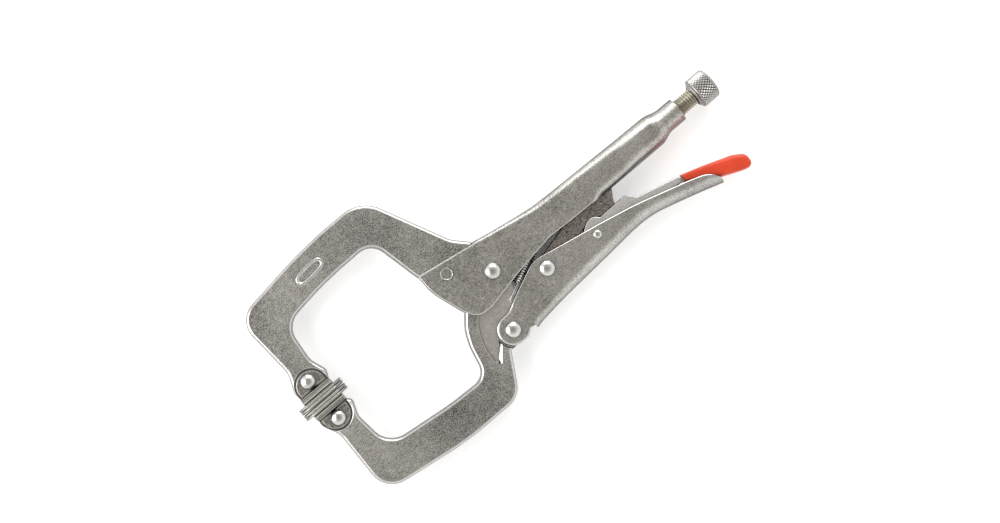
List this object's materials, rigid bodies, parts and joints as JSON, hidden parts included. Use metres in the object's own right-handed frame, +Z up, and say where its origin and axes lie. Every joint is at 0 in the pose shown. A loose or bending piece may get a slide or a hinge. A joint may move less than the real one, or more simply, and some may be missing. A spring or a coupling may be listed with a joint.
{
  "type": "locking c-clamp pliers",
  "caption": "Locking C-clamp pliers with deep curved jaws, swivel pads, a toggle linkage, a screw adjuster and a grip-covered release lever.",
  "frame": {"origin": "centre of the lowest plane of the tool's bounding box, lying flat on one side with the jaws closed and locked", "axes": "+X along the handles towards the adjusting knob, +Y towards the fixed jaw, +Z up out of the flat side, the shortest extent"},
  "size_m": [0.279, 0.1334, 0.022],
  "materials": {
    "satin_nickel_sheet": "satin nickel plated pressed sheet, fine cast-like grain",
    "forged_nickel": "nickel plated forging with a fine sandy grain and brighter rounded edges",
    "pad_nickel": "nickel plated pressed pads, satin",
    "polished_rivet": "bright domed rivet heads",
    "dark_link": "dark unpolished steel with a coarse grain",
    "lever_zinc": "zinc plated pressed lever",
    "screw_zinc": "bright zinc, slightly yellow between the threads, diamond knurl on the knob",
    "spring_wire": "bright spring wire",
    "orange_grip": "dipped orange plastic, soft gloss"
  },
  "bodies": {
    "root": {"upper_handle": "satin_nickel_sheet", "fixed_jaw": "forged_nickel", "fixed_jaw_pin": "satin_nickel_sheet", "main_pivot_rivet": "polished_rivet", "upper_pad_rivet": "polished_rivet", "return_spring": "spring_wire"},
    "moving_jaw": {"moving_jaw": "forged_nickel", "jaw_handle_rivet": "polished_rivet", "lower_pad_rivet": "polished_rivet"},
    "lower_handle": {"lower_handle": "satin_nickel_sheet", "link_rivet": "polished_rivet", "release_lever_pin": "polished_rivet"},
    "toggle_link": {"toggle_link": "dark_link"},
    "release_lever": {"release_lever": "lever_zinc", "release_lever_grip": "orange_grip"},
    "screw_pilot": {"screw_pilot": "screw_zinc"},
    "screw": {"adjusting_screw": "screw_zinc", "screw_knob": "screw_zinc"},
    "upper_pad": {"upper_pad": "pad_nickel"},
    "lower_pad": {"lower_pad": "pad_nickel"}
  },
  "joints": [
    {"name": "jaw_pivot", "type": "hinge", "parent": "root", "child": "moving_jaw", "pos_m": [-0.015, -0.00715, 0.011], "axis": [0, 0, 1], "range_deg": [0, 30], "deforming": ["return_spring"]},
    {"name": "handle_swing", "type": "hinge", "parent": "moving_jaw", "child": "lower_handle", "pos_m": [-0.0267, -0.03745, 0.011], "axis": [0, 0, -1], "range_deg": [0, 78.2]},
    {"name": "link_pivot", "type": "hinge", "parent": "lower_handle", "child": "toggle_link", "pos_m": [0.0078, -0.02455, 0.011], "axis": [0, 0, 1], "range_deg": [0, 81.2]},
    {"name": "release_lever_pivot", "type": "hinge", "parent": "lower_handle", "child": "release_lever", "pos_m": [0.0397, -0.02815, 0.011], "axis": [0, 0, 1], "range_deg": [0, 5]},
    {"name": "upper_pad_swivel", "type": "hinge", "parent": "root", "child": "upper_pad", "pos_m": [-0.1256, 0.01135, 0.011], "axis": [0, 0, 1], "range_deg": [0, 15.1]},
    {"name": "lower_pad_swivel", "type": "hinge", "parent": "moving_jaw", "child": "lower_pad", "pos_m": [-0.1256, -0.01305, 0.011], "axis": [0, 0, -1], "range_deg": [0, 15.1]},
    {"name": "screw_feed", "type": "slide", "parent": "root", "child": "screw_pilot", "axis": [1, 0, 0], "range_m": [0, 0.0135]},
    {"name": "screw_turn", "type": "hinge", "parent": "screw_pilot", "child": "screw", "pos_m": [0.127, -0.00565, 0.011], "axis": [1, 0, 0], "range_deg": [0, 3241]}
  ],
  "couplings": [
    {"joint": "handle_swing", "follows": "jaw_pivot", "ratio": 2.6},
    {"joint": "link_pivot", "follows": "jaw_pivot", "ratio": 2.7},
    {"joint": "upper_pad_swivel", "follows": "jaw_pivot", "ratio": 0.5},
    {"joint": "lower_pad_swivel", "follows": "jaw_pivot", "ratio": 0.5},
    {"joint": "screw_turn", "follows": "screw_feed", "rad_per_m": 4188.8}
  ]
}
